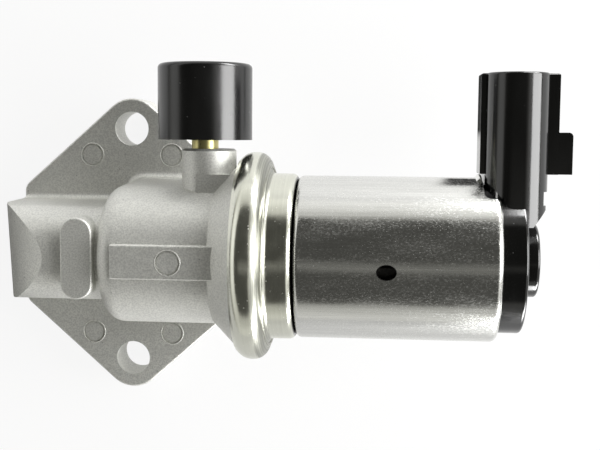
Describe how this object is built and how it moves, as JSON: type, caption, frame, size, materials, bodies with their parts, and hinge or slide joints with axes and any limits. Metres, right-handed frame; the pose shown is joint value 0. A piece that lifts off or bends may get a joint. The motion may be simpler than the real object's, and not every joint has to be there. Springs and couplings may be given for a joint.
{
  "type": "idle air bypass valve",
  "caption": "Solenoid air bypass valve: cast body with a bolt-on flange and two air ports, capped vent, crimped steel can and a side plug socket.",
  "frame": {"origin": "midway between the two bolt holes, on the mounting face", "axes": "+Z out of the mounting face into the part, +X along the valve axis towards the solenoid, +Y the way the vent cap and the plug socket face"},
  "size_m": [0.1096, 0.0665, 0.0421],
  "materials": {
    "cast_aluminium": "satin die casting",
    "plate_aluminium": "pressed",
    "plated_steel": "bright zinc plate",
    "turned_steel": "turned",
    "spring_steel": "drawn wire",
    "brass": "drawn",
    "tinned_brass": "tin plate",
    "copper_wire": "enamelled wire",
    "black_plastic": "moulded",
    "coil_plastic": "moulded",
    "wrap_tape": "tape",
    "poppet_plastic": "moulded",
    "seal_rubber": "matte",
    "filter_foam": "open foam"
  },
  "bodies": {
    "housing": {"valve_body": "cast_aluminium", "body_seal": "seal_rubber", "crimp_cup": "plated_steel", "solenoid_can": "plated_steel", "front_pole": "turned_steel", "guide_tube": "brass", "bobbin": "coil_plastic", "coil_winding": "copper_wire", "coil_wrap": "wrap_tape", "rear_core": "turned_steel", "adjuster_screw": "turned_steel", "return_spring": "spring_steel", "front_bush": "brass", "guide_plate": "plate_aluminium", "vent_tube": "brass", "vent_cap": "black_plastic", "vent_filter": "filter_foam", "terminal_front": "tinned_brass", "terminal_rear": "tinned_brass", "connector_housing": "black_plastic"},
    "valve_stem": {"armature": "turned_steel", "valve_rod": "turned_steel", "poppet": "poppet_plastic", "poppet_clip": "spring_steel"}
  },
  "joints": [
    {"name": "valve_lift", "type": "slide", "parent": "housing", "child": "valve_stem", "axis": [1, 0, 0], "range_m": [0, 0.003], "stiffness_N_per_m": 600, "springref_m": -0.004, "deforming": ["return_spring"]}
  ]
}
